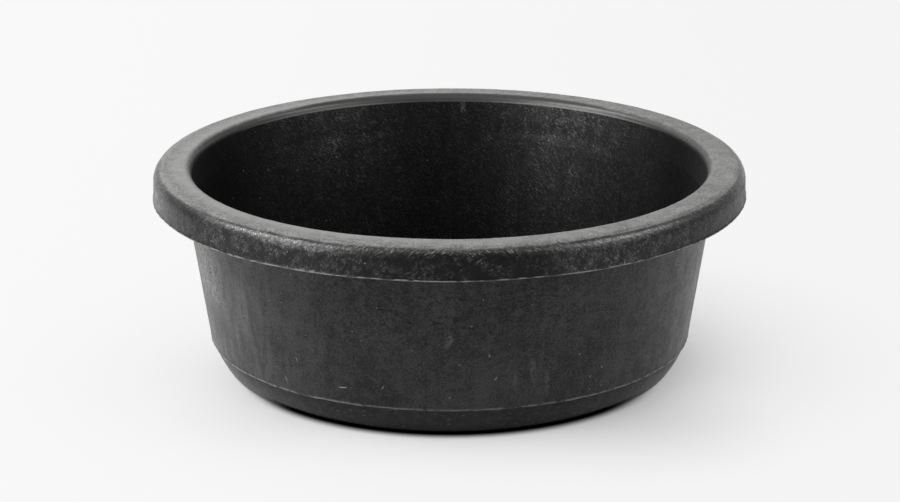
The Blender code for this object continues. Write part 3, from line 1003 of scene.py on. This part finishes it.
floor_mix = painted.make("ShaderNodeMixShader", {}, {0: fade, 1: painted, 2: far_white})
floor_mix.make("ShaderNodeOutputMaterial", {}, {"Surface": floor_mix})
floor_mesh.materials.append(floor_paint)

world = bpy.data.worlds.new("surround")
bpy.context.scene.world = world
world.use_nodes = True
world.node_tree.nodes.clear()
heading = Field(world.node_tree).make("ShaderNodeTexCoord", {}, {}, "Generated")
heading_round = heading.maths("ARCTAN2", parts(heading, "X"), parts(heading, "Y") * -1.0)
heading_up = heading.maths("ARCSINE", parts(heading, "Z"))


PANEL_EDGE = 6.0  # degrees over which a panel fades out


def panel(degrees, wide, low, high, strength):
    """Light from a soft-edged part of the room, degrees round from the camera's side."""
    left, right = math.radians(degrees - wide / 2), math.radians(degrees + wide / 2)
    low, high, soft = math.radians(low), math.radians(high), math.radians(PANEL_EDGE)
    across = ramp(heading_round, left - soft, left + soft) * ramp(heading_round, right + soft, right - soft)
    upright = ramp(heading_up, low - soft, low + soft) * ramp(heading_up, high + soft, high - soft)
    return across * upright * strength


ROOM_DIMMEST = 0.02
PANELS = (  # degrees round from the camera's side, width, lowest, highest, strength
    (-57.5, 45.0, -10.0, 28.0, 5.6),
    (57.5, 45.0, -10.0, 28.0, 2.1),
    (-150.0, 60.0, 24.0, 46.0, 2.0),
    (-155.0, 50.0, -10.0, 22.0, 0.35),
    (155.0, 50.0, -10.0, 22.0, 0.40),
    (105.0, 50.0, -10.0, 24.0, 0.25),
)
room = ROOM_DIMMEST
for panel_row in PANELS:
    room = room + panel(*panel_row)
on_camera = heading.make("ShaderNodeLightPath", {}, {}, "Is Camera Ray")
room_light = heading.make("ShaderNodeBackground", {}, {"Color": (1.0, 1.0, 1.0, 1.0), "Strength": room})
room_seen = heading.make("ShaderNodeBackground", {}, {"Color": WHITE_RIGHT, "Strength": 1.0})
room_mix = heading.make("ShaderNodeMixShader", {}, {0: on_camera, 1: room_light, 2: room_seen})
room_mix.make("ShaderNodeOutputWorld", {}, {"Surface": room_mix})

AIM = Vector((0.0, 0.0, 0.10))
LAMP_DISTANCE = 3.2
LAMP_WIDTH = 2.25
LAMP_DEPTH = 1.15
LAMPS = (  # name, degrees round from the camera's side, degrees up, power
    ("left_softbox", -82.5, 44.0, 76.0),
    ("right_softbox", 82.5, 44.0, 31.0),
)
for lamp_name, lamp_round, lamp_up, lamp_power in LAMPS:
    lamp_round, lamp_up = math.radians(lamp_round), math.radians(lamp_up)
    lamp_level = math.cos(lamp_up)
    lamp_way = Vector(
        (math.sin(lamp_round) * lamp_level, -math.cos(lamp_round) * lamp_level, math.sin(lamp_up))
    )
    lamp_data = bpy.data.lights.new(lamp_name, "AREA")
    lamp_data.shape = "RECTANGLE"
    lamp_data.size = LAMP_WIDTH
    lamp_data.size_y = LAMP_DEPTH
    lamp_data.energy = lamp_power
    lamp = bpy.data.objects.new(lamp_name, lamp_data)
    lamp.location = AIM + lamp_way * LAMP_DISTANCE
    lamp.rotation_euler = (-lamp_way).to_track_quat("-Z", "Y").to_euler()
    bpy.context.scene.collection.objects.link(lamp)

CAMERA_TILT = math.radians(17.685)
CAMERA_ROLL = math.radians(0.126)
CAMERA_DISTANCE = 2.1558
CAMERA_AIM_HEIGHT = 0.07797
CAMERA_LENS = 120.783  # millimetres, on a sensor of the width below
CAMERA_SENSOR = 36.0
CAMERA_SHIFT_RIGHT = 0.00040
CAMERA_SHIFT_UP = 0.00056

camera_data = bpy.data.cameras.new("camera")
camera_data.lens = CAMERA_LENS
camera_data.sensor_width = CAMERA_SENSOR
camera_data.shift_x = CAMERA_SHIFT_RIGHT
camera_data.shift_y = CAMERA_SHIFT_UP
camera = bpy.data.objects.new("camera", camera_data)
camera.location = (
    0.0,
    -CAMERA_DISTANCE * math.cos(CAMERA_TILT),
    CAMERA_AIM_HEIGHT + CAMERA_DISTANCE * math.sin(CAMERA_TILT),
)
camera_turn = (Vector((0.0, 0.0, CAMERA_AIM_HEIGHT)) - camera.location).to_track_quat("-Z", "Y")
camera.rotation_euler = (camera_turn.to_matrix() @ Matrix.Rotation(-CAMERA_ROLL, 3, "Z")).to_euler()
bpy.context.scene.collection.objects.link(camera)
bpy.context.scene.camera = camera
bpy.context.scene.view_settings.view_transform = "Standard"
